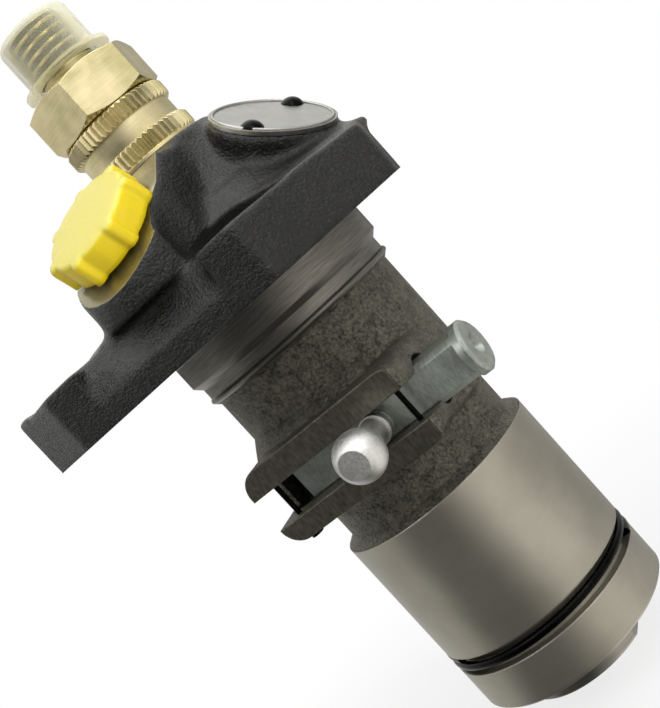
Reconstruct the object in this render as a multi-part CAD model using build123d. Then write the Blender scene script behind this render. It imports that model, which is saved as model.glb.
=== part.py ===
"""Plug-in diesel injection pump: one cylinder, flange-mounted, with a control rack and a roller tappet.

Frame, in millimetres: the origin is on the pump axis at the flange's seating face.  +Z points along
the axis to the delivery union, +X along the control rack, and -Y to the side of the fuel inlet.
Depths are counted down from the seating face.
"""

import os
from math import cos, pi, radians, sin, sqrt, tan

from build123d import *

# ---------------------------------------------------------------- driving dimensions

# fits
running_gap = 0.03          # radial, between ground parts that slide or turn
seat_gap = 0.02             # between parts that rest on one another
free_gap = 0.3              # between parts that pass one another unguided

# housing: flange
flange_thickness = 10.4
flange_front_y = -36.5
flange_corner_radius = 1.8
flange_corners = [
    (20.0, flange_front_y), (24.6, -27.8), (34.7, -12.5), (21.0, 33.5), (14.0, 42.5), (0.5, 43.0),
    (-6.5, 37.5), (-24.5, 10.0), (-42.5, -1.5), (-44.6, -15.0), (-36.2, -26.0),
    (-21.5, flange_front_y),
]
bolt_circle_radius = 32.5
bolt_angles = (32.0, -56.0, 161.0)      # from -Y towards +X
bolt_hole_radius = 4.5
bolt_pad_height = 9.7       # milled seat of a bolt's head, above the seating face
bolt_pad_radius = 9.0
bolt_pad_run_outs = (32.0, 25.0)       # the way the first two pads run out over the flange's edge
flange_fall_start = 20.5    # right of here the flange falls away to its edge
flange_fall_angle = 5.0
flank_band_height = 3.7     # upright edge below the scooped front flank
flank_scoop_depth = 5.0
flank_start_x = -14.5
flank_end_x = 12.8

# housing: head above the flange
head_height = 27.3
head_top_radius = 12.5
head_waist_radius = 15.6
head_base_radius = 27.5
inlet_tilt = 32.0           # the port's axis from the pump axis, towards -Y
inlet_face_y = -25.7
inlet_face_z = 20.2
inlet_boss_radius = 10.2
inlet_boss_x = 0.5          # of the boss's upright part
inlet_boss_y = -26.5
inlet_boss_bottom = 9.5     # below here the boss slopes back under its face
inlet_ridge_half_width = 9.4    # of the ridge from the boss to the dome
inlet_ridge_drop = 1.1      # of the ridge's top below the head's
inlet_thread_radius = 6.3
inlet_thread_depth = 10.0
inlet_drill_radius = 2.6
plate_tilt = 45.0           # the pad's normal from the pump axis, towards +X
plate_turn = -6.0           # the pad's turn about the pump axis
plate_x = 20.6              # of the pad's centre
plate_y = 0.6
plate_z = 19.0
plate_radius = 10.25
plate_thickness = 0.8
plate_pad_margin = 0.4
plate_pad_thickness = 1.4
plate_neck_radius = 7.0     # of the body under the pad, where it meets the flange
plate_foot_radius = 8.5     # upright foot at the pad's right
plate_foot_x = 20.0
plate_foot_y = 3.5
plate_foot_top = 11.0
rivet_spacing = 16.4
rivet_head_radius = 1.9
rivet_head_height = 1.1
rivet_shank_radius = 0.8
rivet_shank_length = 3.0

# housing: stem below the flange
spigot_radius = 20.2
spigot_depth = 4.3
undercut_radius = 19.0
lip_radius = 19.4
lip_depth = 8.2
stem_radius = 18.3
waist_radius = 17.0
waist_depth = 34.5
pilot_radius = 19.0
pilot_start = 42.0
pilot_end = 78.0
pilot_chamfer = 0.7
ring_groove_start = 66.3
ring_groove_width = 3.7
ring_groove_floor = 1.8

# housing: bores
union_thread_radius = 9.0
collar_bore_radius = 8.6
gallery_radius = 10.5
gallery_start = 2.5
gallery_end = 9.5
barrel_radius = 7.0
sleeve_chamber_radius = 14.3
tappet_bore_radius = 15.0

# control rack, its guide on the housing, and the linkage stud
module = 1.0
pressure_angle = 20.0
wheel_teeth = 26            # if the sleeve's sector were a whole wheel
sector_teeth = 9
backlash = 0.12
rack_radius = 4.5
rack_tooth_inset = 0.3      # the teeth's crests lie this far inside the round bar
rack_left = -8.4
rack_right = 27.3
rack_flat = 3.6             # milled flats, from the bar's axis
rack_head_length = 1.8
rack_centre_radius = 1.7    # countersink in the bar's end
rack_first_space = -2
rack_last_space = 6
guide_front_y = -24.2
guide_left = -14.5
guide_right = 18.5
guide_height = 13.8
guide_corner_radius = 3.5
guide_bevel = 1.8           # on the block's right front corner
guide_rise = 0.3            # of the block's middle above the rack
guide_root_height = 2.2     # fillet from the block's top to the stem
guide_root_right = 11.0
rack_bore_end = -13.4
guide_slot_height = 5.9
guide_back_y = -6.0
stop_pin_radius = 0.45
stop_pin_inset = 3.4        # of either pin from the guide's end
stop_pin_y = -21.8
stop_pin_overhang = 0.7
stop_pin_head_radius = 1.1
stud_x = 8.4
stud_collar_radius = 2.6
stud_collar_length = 2.6
stud_collar_groove = 0.5
stud_neck_radius = 2.2
stud_shank_radius = 1.75
stud_shank_length = 3.4
ball_radius = 4.05
ball_y = -31.0
ball_end_flat = 3.3         # turned flat on the ball's end, from its centre

# pump element
barrel_collar_radius = 8.5
barrel_collar_height = 6.0
barrel_depth = 33.0
plunger_radius = 4.0
spill_port_depth = 6.0
spill_port_radius = 1.5
plunger_crown_depth = 8.0   # at the bottom of the stroke
control_groove_width = 2.0
control_groove_depth = 1.2
control_edge_drop = 5.0
vane_depth = 42.4
vane_height = 3.0
vane_width = 4.0
vane_reach = 8.7
neck_radius = 3.0
foot_height = 3.0
foot_radius = 5.0
locating_pin_radius = 1.0
locating_pin_y = 7.5
locating_pin_reach = 1.9

# control sleeve
sleeve_radius = 9.0
sleeve_start = 21.8
sleeve_end = 46.0
sleeve_slot_start = 33.4
sector_start = 23.2
sector_height = 6.2

# delivery valve and union
valve_seat_radius = 8.4
valve_seat_height = 6.5
valve_guide_radius = 3.0
valve_head_radius = 3.8
valve_head_height = 1.6
valve_spigot_radius = 2.2
valve_spigot_height = 2.0
valve_flute_width = 1.6
gasket_thickness = 1.0
gasket_bore_radius = 5.6
reducer_radius = 5.1
reducer_drop = 2.3          # of the volume reducer's foot below the head's top
reducer_stem_radius = 2.4
reducer_stem_length = 4.5
union_bore_radius = 5.2
union_bore_rise = 4.2       # this and the union's other rises are above the head's top
union_passage_radius = 1.25
union_cone_radius = 3.4
union_collar_radius = 9.7
union_neck_radius = 9.1
lower_serration_rise = 0.7
upper_serration_rise = 7.0
serration_height = 3.0
serration_radius = 10.0
serration_depth = 0.6
serration_count = 54
hexagon_rise = 10.1
hexagon_height = 8.4
hexagon_across_flats = 19.0
hexagon_turn = 15.0
union_relief_radius = 5.0
union_relief_height = 1.8
delivery_thread_radius = 6.0
delivery_thread_rise = 29.0
valve_spring_radius = 3.1
valve_spring_wire = 0.8
valve_spring_turns = 5

# protective caps
outlet_cap_wall = 0.8
outlet_cap_brim_radius = 8.5
outlet_cap_brim_height = 0.7
outlet_cap_round = 1.2
inlet_cap_radius = 8.7
inlet_cap_height = 5.4
inlet_cap_lobes = 8
inlet_cap_scallop_radius = 2.4
inlet_cap_scallop_depth = 0.9
inlet_cap_plug_length = 6.0

# roller tappet
tappet_cup_depth = 9.4
tappet_cup_radius = 13.5
tappet_web = 3.3            # between the thrust pad's seat and the roller's space
tappet_skirt_radius = 13.4
tappet_flat_x = 11.0
tappet_chamfer = 0.6
thrust_pad_radius = 6.0
thrust_pad_height = 2.0
roller_radius = 9.0
roller_width = 10.4
roller_chamfer = 0.7
roller_depth = 77.0
bush_wall = 1.4
roller_pin_radius = 3.5
roller_pin_half_length = 10.8
guide_pin_radius = 2.0
guide_groove_reach = 13.0   # floor of the tappet's guide groove, from the pump axis
ring_wire_radius = 0.8
ring_turns = 1.2
ring_pitch = 1.64
stroke = 8.0

# plunger spring and its plates
spring_wire = 2.4
spring_radius = 11.4
spring_turns = 6
spring_plate_sheet = 1.5
upper_plate_radius = 14.8
lower_plate_radius = 13.2

# ---------------------------------------------------------------- sizes that follow

sector_pitch_radius = module * wheel_teeth / 2
addendum = module
dedendum = 1.25 * module
rack_pitch = pi * module
rack_z = -(sector_start + sector_height / 2)
guide_z = rack_z + guide_rise
stop_pin_places = (guide_left + stop_pin_inset, guide_right - stop_pin_inset)
sleeve_chamber_start = sector_start - 1.7
spring_seat_depth = sector_start + sector_height + 1.6
thrust_pad_bottom = roller_depth - roller_radius - free_gap - tappet_web
foot_bottom = thrust_pad_bottom - thrust_pad_height
foot_depth = foot_bottom - foot_height
tappet_top = foot_bottom - tappet_cup_depth
tappet_skirt_start = roller_depth + 1.5
tappet_end = roller_depth + roller_radius / 2 + 0.5
rack_y = -(sector_pitch_radius - addendum + rack_radius - rack_tooth_inset)
barrel_top = barrel_collar_height
valve_seat_top = barrel_top + valve_seat_height
union_thread_bottom = valve_seat_top + gasket_thickness
reducer_start = head_height - reducer_drop
union_bore_end = head_height + union_bore_rise
lower_serration_z = head_height + lower_serration_rise
upper_serration_z = head_height + upper_serration_rise
hexagon_z = head_height + hexagon_rise
delivery_thread_top = head_height + delivery_thread_rise
inlet_ridge_top = head_height - inlet_ridge_drop
upper_plate_bottom = spring_seat_depth + spring_plate_sheet
lower_plate_top = foot_depth - free_gap - spring_plate_sheet
ring_groove_radius = pilot_radius - ring_groove_floor
ring_groove_middle = ring_groove_start + ring_groove_width / 2
bush_radius = roller_pin_radius + running_gap + bush_wall


# ---------------------------------------------------------------- helpers

def cylinder(radius, low, high, x=0.0, y=0.0):
    """An upright cylinder between two heights."""
    return Pos(x, y, (low + high) / 2) * Cylinder(radius, high - low)


def ring(outer, inner, low, high):
    """An upright tube between two heights."""
    return cylinder(outer, low, high) - cylinder(inner, low - 1, high + 1)


def block(x0, x1, y0, y1, z0, z1):
    """A box between two corners."""
    return Pos((x0 + x1) / 2, (y0 + y1) / 2, (z0 + z1) / 2) * Box(x1 - x0, y1 - y0, z1 - z0)


def bar_x(radius, x0, x1, y, z):
    """A round bar along X."""
    return Pos((x0 + x1) / 2, y, z) * Rot(0, 90, 0) * Cylinder(radius, x1 - x0)


def bar_y(radius, y0, y1, x, z):
    """A round bar along Y."""
    return Pos(x, (y0 + y1) / 2, z) * Rot(90, 0, 0) * Cylinder(radius, y1 - y0)


def turned(*points):
    """A solid turned about the pump axis from (radius, height) points."""
    outline = Polyline(*[(radius, 0, height) for radius, height in points], close=True)
    return revolve(make_face(outline), Axis.Z)


def coil(radius, wire_radius, low, pitch, turns):
    """A round-wire coil whose wire starts at the lowest height and climbs one pitch a turn."""
    path = Helix(pitch=pitch, height=pitch * turns, radius=radius)
    section = Plane(origin=path @ 0, z_dir=path % 0) * Circle(wire_radius)
    return Pos(0, 0, low + wire_radius) * sweep(section, path=path, is_frenet=True)


def around(radius, angle):
    """A point round the pump axis, its angle counted from -Y towards +X."""
    return radius * sin(radians(angle)), -radius * cos(radians(angle))


# the inlet port's frame: its origin at the centre of the boss's face, +Z out of the port
inlet = Pos(0, inlet_face_y, inlet_face_z) * Rot(inlet_tilt, 0, 0)

# the marking plate's frame: its origin at the centre of the pad, +Z off the pad, +Y from rivet to rivet
plate_frame = Pos(plate_x, plate_y, plate_z) * Rot(0, 0, plate_turn) * Rot(0, plate_tilt, 0)


# ---------------------------------------------------------------- housing

def flange():
    """The flange: a long arm on the left, two corners in front and on the right, a lobe behind."""
    sheet = make_face(Polyline(*flange_corners, close=True))
    body = extrude(fillet(sheet.vertices(), flange_corner_radius), flange_thickness)
    scoop = make_face(Polyline(
        (flank_start_x, flange_front_y, flank_band_height),
        (flank_start_x, flange_front_y + flank_scoop_depth, flange_thickness),
        (flank_start_x, flange_front_y + flank_scoop_depth, flange_thickness + 1),
        (flank_start_x, flange_front_y - 1, flange_thickness + 1),
        (flank_start_x, flange_front_y - 1, flank_band_height),
        close=True,
    ))
    body -= extrude(scoop, flank_end_x - flank_start_x, dir=(1, 0, 0))
    fall = Pos(flange_fall_start, 0, flange_thickness) * Rot(0, flange_fall_angle, 0)
    reach = 2 * bolt_circle_radius
    return body - fall * block(0, reach, -reach, reach, 0, flange_thickness)


def dome():
    """The waisted dome round the union's thread, from the flange to the head's top."""
    low = flange_thickness - 1
    middle = (flange_thickness + head_height) / 2
    flank = ThreePointArc(
        (head_base_radius, 0, flange_thickness), (head_waist_radius, 0, middle),
        (head_top_radius, 0, head_height),
    )
    rest = Polyline(
        (head_top_radius, 0, head_height), (0, 0, head_height), (0, 0, low),
        (head_base_radius, 0, low), (head_base_radius, 0, flange_thickness),
    )
    return revolve(make_face(Curve() + [flank, rest]), Axis.Z)


def bolt_pads():
    """What the milling cutter takes off above the bolts' seats; two of them run out over the edge."""
    low, high = bolt_pad_height, head_height
    pads = [cylinder(bolt_pad_radius, low, high, *around(bolt_circle_radius, angle))
            for angle in bolt_angles]
    reach = 2 * bolt_circle_radius
    for angle, direction in zip(bolt_angles, bolt_pad_run_outs):
        x, y = around(bolt_circle_radius, angle)
        pads.append(Pos(x, y, 0) * Rot(0, 0, direction) * block(
            -bolt_pad_radius, bolt_pad_radius, -reach, 0, low, high))
    return pads


def head():
    """The dome with the inlet boss, faced off flat, and the pad for the marking plate."""
    boss = cylinder(inlet_boss_radius, inlet_boss_bottom, inlet_ridge_top, inlet_boss_x, inlet_boss_y)
    boss += block(inlet_boss_x - inlet_ridge_half_width, inlet_boss_x + inlet_ridge_half_width,
                  inlet_boss_y, 0, inlet_boss_bottom, inlet_ridge_top)
    slope = Pos(inlet_boss_x, inlet_boss_y, inlet_boss_bottom) * Rot(inlet_tilt, 0, 0)
    boss += slope * Pos(0, 0, -head_height / 2) * Cylinder(inlet_boss_radius, head_height) & block(
        -head_height, head_height, flange_front_y, 0, 1, inlet_boss_bottom)
    pad = Pos(0, 0, -plate_pad_thickness / 2) * Cylinder(
        plate_radius + plate_pad_margin, plate_pad_thickness)
    pad += Pos(0, 0, -plate_pad_thickness - plate_z / 2) * Cone(
        plate_neck_radius, plate_radius + plate_pad_margin, plate_z)
    above_seat = cylinder(2 * head_base_radius, 1, inlet_ridge_top)
    body = dome() + boss + (plate_frame * pad & above_seat)
    body += cylinder(plate_foot_radius, 1, plate_foot_top, plate_foot_x, plate_foot_y)
    return body - inlet * block(-head_height, head_height, -head_height, head_height / 2, 0, head_height)


def stem():
    """The turned stem below the flange: spigot, lip, cast waist and the ground pilot with its groove."""
    return turned(
        (0, 1), (spigot_radius, 1), (spigot_radius, -spigot_depth),
        (undercut_radius, -spigot_depth - 1.2), (undercut_radius, -lip_depth + 0.8),
        (lip_radius, -lip_depth + 0.4), (lip_radius, -lip_depth),
        (stem_radius, -lip_depth - 1.0), (stem_radius, -waist_depth + 1),
        (waist_radius, -waist_depth), (waist_radius, -pilot_start + 1.4),
        (pilot_radius, -pilot_start), (pilot_radius, -ring_groove_start),
        (ring_groove_radius, -ring_groove_start),
        (ring_groove_radius, -ring_groove_start - ring_groove_width),
        (pilot_radius, -ring_groove_start - ring_groove_width),
        (pilot_radius, -pilot_end + pilot_chamfer), (pilot_radius - pilot_chamfer, -pilot_end),
        (0, -pilot_end),
    )


def rack_guide():
    """The block on the stem that holds the rack, with one lug above and one below its slot."""
    low, high = guide_z - guide_height / 2, guide_z + guide_height / 2
    body = block(guide_left, guide_right, guide_front_y, guide_back_y, low, high)
    body = fillet(body.edges().filter_by(Axis.Y), guide_corner_radius)
    root = turned((0, high - 1), (stem_radius + guide_root_height + 1, high - 1),
                  (stem_radius, high + guide_root_height), (0, high + guide_root_height))
    body += root & block(guide_left, guide_root_right, guide_front_y, guide_back_y, high - 1, 0)
    slot = block(guide_left - 1, guide_right + 1, guide_front_y - 1, rack_y,
                 rack_z - guide_slot_height / 2, rack_z + guide_slot_height / 2)
    bevel = Pos(guide_right, guide_front_y, rack_z) * Rot(0, 0, 35) * Box(
        2 * guide_bevel, guide_bevel, 2 * guide_height)
    body = body - slot - bevel
    for x in stop_pin_places:
        body -= cylinder(stop_pin_radius + seat_gap, low - 1, high + 1, x, stop_pin_y)
    return body


def housing_bores():
    """Everything bored, drilled and tapped into the housing."""
    element_bore = turned(
        (0, head_height + 1), (union_thread_radius, head_height + 1),
        (union_thread_radius, union_thread_bottom), (collar_bore_radius, union_thread_bottom),
        (collar_bore_radius, 0), (barrel_radius + running_gap, 0),
        (barrel_radius + running_gap, -gallery_start), (gallery_radius, -gallery_start),
        (gallery_radius, -gallery_end), (barrel_radius + running_gap, -gallery_end),
        (barrel_radius + running_gap, -sleeve_chamber_start),
        (sleeve_chamber_radius, -sleeve_chamber_start), (sleeve_chamber_radius, -spring_seat_depth),
        (tappet_bore_radius, -spring_seat_depth), (tappet_bore_radius, -pilot_end - 1),
        (0, -pilot_end - 1),
    )
    rack_bore = bar_x(rack_radius + running_gap, rack_bore_end, pilot_radius + 2, rack_y, rack_z)
    guide_pin_hole = bar_x(guide_pin_radius + seat_gap, -pilot_radius - 1, -tappet_bore_radius + 1,
                           0, -ring_groove_middle)
    drill_length = (gallery_radius + inlet_face_y) / -sin(radians(inlet_tilt)) + 2
    tapping = inlet * Pos(0, 0, -inlet_thread_depth / 2) * Cylinder(inlet_thread_radius, inlet_thread_depth)
    drilling = inlet * Pos(0, 0, -drill_length / 2) * Cylinder(inlet_drill_radius, drill_length)
    pin_seat = cylinder(locating_pin_radius + seat_gap, -locating_pin_reach - seat_gap, 1,
                        0, locating_pin_y)
    bolts = [cylinder(bolt_hole_radius, -1, flange_thickness + 1, *around(bolt_circle_radius, angle))
             for angle in bolt_angles]
    rivets = [plate_frame * Pos(0, side * rivet_spacing / 2, -rivet_shank_length / 2)
              * Cylinder(rivet_shank_radius + seat_gap, rivet_shank_length + seat_gap)
              for side in (-1, 1)]
    return [element_bore, rack_bore, guide_pin_hole, tapping, drilling, pin_seat] + bolts + rivets


def pump_housing():
    """The one-piece cast housing."""
    body = flange() + head()
    for pad in bolt_pads():
        body -= pad
    body -= plate_frame * Pos(0, 0, head_height / 2) * Cylinder(plate_radius + plate_pad_margin, head_height)
    body = body + stem() + rack_guide()
    for bore in housing_bores():
        body -= bore
    return body


# ---------------------------------------------------------------- pump element

def plunger_barrel():
    """The barrel, clamped by its collar, with two spill ports into the gallery."""
    body = cylinder(barrel_radius, -barrel_depth, 0.5) + cylinder(barrel_collar_radius, seat_gap, barrel_top)
    body -= cylinder(plunger_radius, -barrel_depth - 1, barrel_top + 1)
    body -= bar_y(spill_port_radius, -barrel_radius - 1, barrel_radius + 1, 0, -spill_port_depth)
    notch = cylinder(locating_pin_radius + seat_gap, -locating_pin_reach - 1,
                     locating_pin_reach + seat_gap, 0, locating_pin_y)
    return body - notch


def barrel_locating_pin():
    """The dowel that stops the barrel turning."""
    return cylinder(locating_pin_radius, -locating_pin_reach, locating_pin_reach, 0, locating_pin_y)


def plunger():
    """The plunger: ground body with its control edge, the vane for the sleeve, neck and foot."""
    ground = plunger_radius - running_gap / 2
    crown = -plunger_crown_depth
    body = cylinder(ground, -vane_depth, crown)
    stop_groove = Pos(0, -ground, crown - control_edge_drop) * Box(
        control_groove_width, 2 * control_groove_depth, 2 * control_edge_drop)
    edge_height = crown - 1.2 * control_edge_drop
    ramp = Pos(0, -ground, edge_height) * Rot(0, 30, 0) * Box(
        4 * ground, 2 * control_groove_depth, control_groove_width)
    band = ring(ground + 1, ground - control_groove_depth / 2, edge_height - 4, edge_height - 2)
    body = body - stop_groove - ramp - band
    vane = block(-vane_reach, vane_reach, -vane_width / 2, vane_width / 2,
                 -vane_depth - vane_height, -vane_depth)
    vane = vane & cylinder(vane_reach, -vane_depth - vane_height, -vane_depth)
    neck = cylinder(neck_radius, -foot_depth, -vane_depth)
    foot = cylinder(foot_radius, -foot_bottom, -foot_depth)
    return body + vane + neck + foot


# ---------------------------------------------------------------- delivery valve and union

def delivery_valve_seat():
    """The valve's seat and guide, lapped onto the barrel."""
    low, high = barrel_top + seat_gap, valve_seat_top
    return ring(valve_seat_radius, valve_guide_radius, low, high)


def delivery_valve():
    """The delivery valve: fluted stem, head on the seat and a spigot for the spring."""
    stem_radius_ = valve_guide_radius - running_gap
    body = cylinder(stem_radius_, barrel_top + 0.6, valve_seat_top + 1)
    for turn in (0, 90, 180, 270):
        flute = Rot(0, 0, turn) * block(-valve_flute_width / 2, valve_flute_width / 2,
                                        stem_radius_ - 1, stem_radius_ + 1,
                                        barrel_top, valve_seat_top - 1.5)
        body -= flute
    head_low = valve_seat_top + seat_gap
    head_top = head_low + valve_head_height
    head_disc = cylinder(valve_head_radius, head_low, head_top)
    return body + head_disc + cylinder(valve_spigot_radius, head_top, head_top + valve_spigot_height)


def valve_gasket():
    """The copper ring between the valve's seat and the union."""
    return ring(valve_seat_radius, gasket_bore_radius, valve_seat_top + seat_gap,
                valve_seat_top + gasket_thickness - seat_gap)


def volume_reducer():
    """The filler in the union's bore, which backs the valve's spring and stops its lift."""
    body = cylinder(reducer_radius, reducer_start, union_bore_end - seat_gap)
    stem_part = cylinder(reducer_stem_radius, reducer_start - reducer_stem_length, reducer_start)
    bore = cylinder(union_passage_radius, reducer_start - reducer_stem_length - 1, union_bore_end + 1)
    slot = block(-reducer_stem_radius - 1, reducer_stem_radius + 1, -0.6, 0.6,
                 reducer_start - reducer_stem_length - 1, reducer_start - reducer_stem_length + 1)
    return body + stem_part - bore - slot


def serrated_collar(low):
    """A collar with straight V serrations all round, for a locking clip."""
    step = 360 / serration_count
    points = []
    for tooth in range(serration_count):
        points.append(around(serration_radius, tooth * step))
        points.append(around(serration_radius - serration_depth, (tooth + 0.5) * step))
    collar = extrude(make_face(Polyline(*points, close=True)), serration_height)
    crown = turned(
        (0, 0), (serration_radius - 0.5, 0), (serration_radius, 0.5),
        (serration_radius, serration_height - 0.5), (serration_radius - 0.5, serration_height),
        (0, serration_height),
    )
    return Pos(0, 0, low) * (collar & crown)


def hexagon():
    """The union's hexagon, its corners turned off at both ends."""
    corner_radius = hexagon_across_flats / sqrt(3)
    prism = extrude(RegularPolygon(corner_radius, 6, rotation=hexagon_turn), hexagon_height)
    fall = (corner_radius - hexagon_across_flats / 2 + 0.2) * tan(radians(30))
    inner = hexagon_across_flats / 2 - 0.2
    crown = turned(
        (0, 0), (inner, 0), (corner_radius, fall), (corner_radius, hexagon_height - fall),
        (inner, hexagon_height), (0, hexagon_height),
    )
    return Pos(0, 0, hexagon_z) * (prism & crown)


def delivery_valve_holder():
    """The union that clamps the barrel and takes the high-pressure pipe."""
    thread_low = union_thread_bottom + seat_gap
    relief_low = hexagon_z + hexagon_height
    thread_low_top = relief_low + union_relief_height
    spine = turned(
        (0, thread_low), (union_thread_radius - seat_gap, thread_low),
        (union_thread_radius - seat_gap, head_height + seat_gap),
        (union_collar_radius, head_height + seat_gap), (union_collar_radius, lower_serration_z),
        (union_neck_radius, lower_serration_z), (union_neck_radius, hexagon_z),
        (union_relief_radius, hexagon_z), (union_relief_radius, thread_low_top),
        (delivery_thread_radius, thread_low_top + 0.6),
        (delivery_thread_radius, delivery_thread_top - 0.8),
        (delivery_thread_radius - 0.8, delivery_thread_top), (0, delivery_thread_top),
    )
    body = spine + serrated_collar(lower_serration_z) + serrated_collar(upper_serration_z) + hexagon()
    bore = turned(
        (0, thread_low - 1), (union_bore_radius, thread_low - 1), (union_bore_radius, union_bore_end),
        (union_passage_radius, union_bore_end), (union_passage_radius, delivery_thread_top - 3.6),
        (union_cone_radius, delivery_thread_top + 0.1), (0, delivery_thread_top + 0.1),
    )
    return body - bore


def delivery_valve_spring():
    """The light spring that seats the delivery valve."""
    low = valve_seat_top + seat_gap + valve_head_height + seat_gap
    wire_radius = valve_spring_wire / 2
    pitch = (reducer_start - seat_gap - low - valve_spring_wire) / valve_spring_turns
    return coil(valve_spring_radius, wire_radius, low, pitch, valve_spring_turns)


# ---------------------------------------------------------------- protective caps

def outlet_cap():
    """The thin moulded cap pushed over the delivery thread."""
    inner = delivery_thread_radius + seat_gap
    outer = inner + outlet_cap_wall
    low = hexagon_z + hexagon_height + union_relief_height
    top = delivery_thread_top + seat_gap + outlet_cap_wall
    shell = cylinder(outer, low, top)
    shell = fillet(shell.edges().sort_by(Axis.Z)[-1], outlet_cap_round)
    brim = cylinder(outlet_cap_brim_radius, low, low + outlet_cap_brim_height)
    return shell + brim - cylinder(inner, low - 1, delivery_thread_top + seat_gap)


def inlet_cap():
    """The moulded plug in the inlet port: a lobed head and a round stem."""
    body = cylinder(inlet_cap_radius, seat_gap, inlet_cap_height)
    reach = inlet_cap_radius + inlet_cap_scallop_radius - inlet_cap_scallop_depth
    for lobe in range(inlet_cap_lobes):
        x, y = around(reach, (lobe + 0.5) * 360 / inlet_cap_lobes)
        body -= cylinder(inlet_cap_scallop_radius, -1, inlet_cap_height + 1, x, y)
    stem_part = cylinder(inlet_thread_radius - seat_gap, -inlet_cap_plug_length, seat_gap)
    bore = cylinder(inlet_thread_radius - 1.5, -inlet_cap_plug_length - 1, inlet_cap_height - 2)
    return inlet * (body + stem_part - bore)


# ---------------------------------------------------------------- marking plate

def marking_plate():
    """The round sheet plate on its pad, with holes for the rivets."""
    body = cylinder(plate_radius, seat_gap, plate_thickness)
    for side in (-1, 1):
        body -= cylinder(rivet_shank_radius + seat_gap, -1, 2, 0, side * rivet_spacing / 2)
    return plate_frame * body


def plate_rivets():
    """The two round-headed drive rivets that hold the plate."""
    low = plate_thickness + seat_gap
    dome_radius = (rivet_head_radius ** 2 + rivet_head_height ** 2) / (2 * rivet_head_height)
    both = []
    for side in (-1, 1):
        y = side * rivet_spacing / 2
        ball = Pos(0, y, low + rivet_head_height - dome_radius) * Sphere(dome_radius)
        cap = ball & cylinder(rivet_head_radius + 1, low, low + 5, 0, y)
        both.append(plate_frame * (cap + cylinder(rivet_shank_radius, -rivet_shank_length + seat_gap,
                                                  low + 0.3, 0, y)))
    return Compound(children=both)


# ---------------------------------------------------------------- control rack and sleeve

def rack_tooth_space(index):
    """One straight-sided tooth space of the rack, open towards the sleeve."""
    slope = tan(radians(pressure_angle))
    half = rack_pitch / 4 + backlash / 4
    pitch_y, root_y = -sector_pitch_radius, -sector_pitch_radius - dedendum
    mouth_y = -sector_pitch_radius + 2 * addendum
    outline = Polyline(
        (-half + slope * dedendum, root_y), (half - slope * dedendum, root_y),
        (half + slope * (mouth_y - pitch_y), mouth_y), (-half - slope * (mouth_y - pitch_y), mouth_y),
        close=True,
    )
    space = extrude(make_face(outline), 2 * rack_radius + 2)
    return Pos(index * rack_pitch, 0, rack_z - rack_radius - 1) * space


def control_rack():
    """The round rack bar: flats in front, above and below, teeth behind, a full-round head."""
    body = bar_x(rack_radius, rack_left, rack_right - rack_head_length, rack_y, rack_z)
    low, high = rack_z - rack_flat, rack_z + rack_flat
    crest_y = rack_y + rack_radius - rack_tooth_inset
    body = body & block(rack_left - 1, rack_right, rack_y - rack_flat, crest_y, low, high)
    for index in range(rack_first_space, rack_last_space + 1):
        body -= rack_tooth_space(index)
    head_disc = bar_x(rack_radius, rack_right - rack_head_length, rack_right, rack_y, rack_z)
    head_disc = chamfer(head_disc.edges().sort_by(Axis.X)[-1], 0.5)
    centre = Pos(rack_right - rack_centre_radius, rack_y, rack_z) * Rot(0, 90, 0) * Cone(
        0.01, rack_centre_radius * 1.1, 2 * rack_centre_radius * 1.1)
    stud_hole = bar_y(stud_shank_radius + seat_gap, rack_y - rack_radius,
                      rack_y - rack_flat + stud_shank_length + seat_gap, stud_x, rack_z)
    return body + head_disc - centre - stud_hole


def rack_ball_stud():
    """The linkage's ball stud, screwed into the rack's front flat."""
    seat_y = rack_y - rack_flat - seat_gap
    shank = bar_y(stud_shank_radius, seat_y, seat_y + stud_shank_length, stud_x, rack_z)
    collar_front = seat_y - stud_collar_length
    collar_middle = seat_y - stud_collar_length / 2
    collar = bar_y(stud_collar_radius, collar_front, collar_middle - stud_collar_groove / 2, stud_x, rack_z)
    collar += bar_y(stud_collar_radius, collar_middle + stud_collar_groove / 2, seat_y, stud_x, rack_z)
    neck = bar_y(stud_neck_radius, ball_y, seat_y, stud_x, rack_z)
    ball = Sphere(ball_radius) & block(-ball_radius, ball_radius, -ball_end_flat, ball_radius,
                                       -ball_radius, ball_radius)
    ball = Pos(stud_x, ball_y, rack_z) * ball
    return shank + collar + neck + ball


def rack_stop_pins():
    """The two pins through both lugs: a headed one on the left, a plain one on the right."""
    low, high = guide_z - guide_height / 2, guide_z + guide_height / 2
    left, right = stop_pin_places
    headed = cylinder(stop_pin_radius, low - stop_pin_overhang, high - 0.5, left, stop_pin_y)
    headed += cylinder(stop_pin_head_radius, low - stop_pin_overhang, low - seat_gap, left, stop_pin_y)
    plain = cylinder(stop_pin_radius, low, high - 0.5, right, stop_pin_y)
    return Compound(children=[headed, plain])


def involute_flank(base_radius, tip_radius, half_angle_at_base, points):
    """One flank of a tooth, from the base circle to the tip, as points about a tooth on -Y."""
    flank = []
    end_roll = sqrt((tip_radius / base_radius) ** 2 - 1)
    for step in range(points + 1):
        roll = end_roll * step / points
        reach = base_radius * sqrt(1 + roll ** 2)
        unwound = roll - atan_of(roll)
        flank.append(around(reach, (half_angle_at_base - unwound) * 180 / pi))
    return flank


def atan_of(value):
    """The angle whose tangent is the value, in radians."""
    return Vector(1, value, 0).get_signed_angle(Vector(1, 0, 0), Vector(0, 0, -1)) * pi / 180


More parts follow.
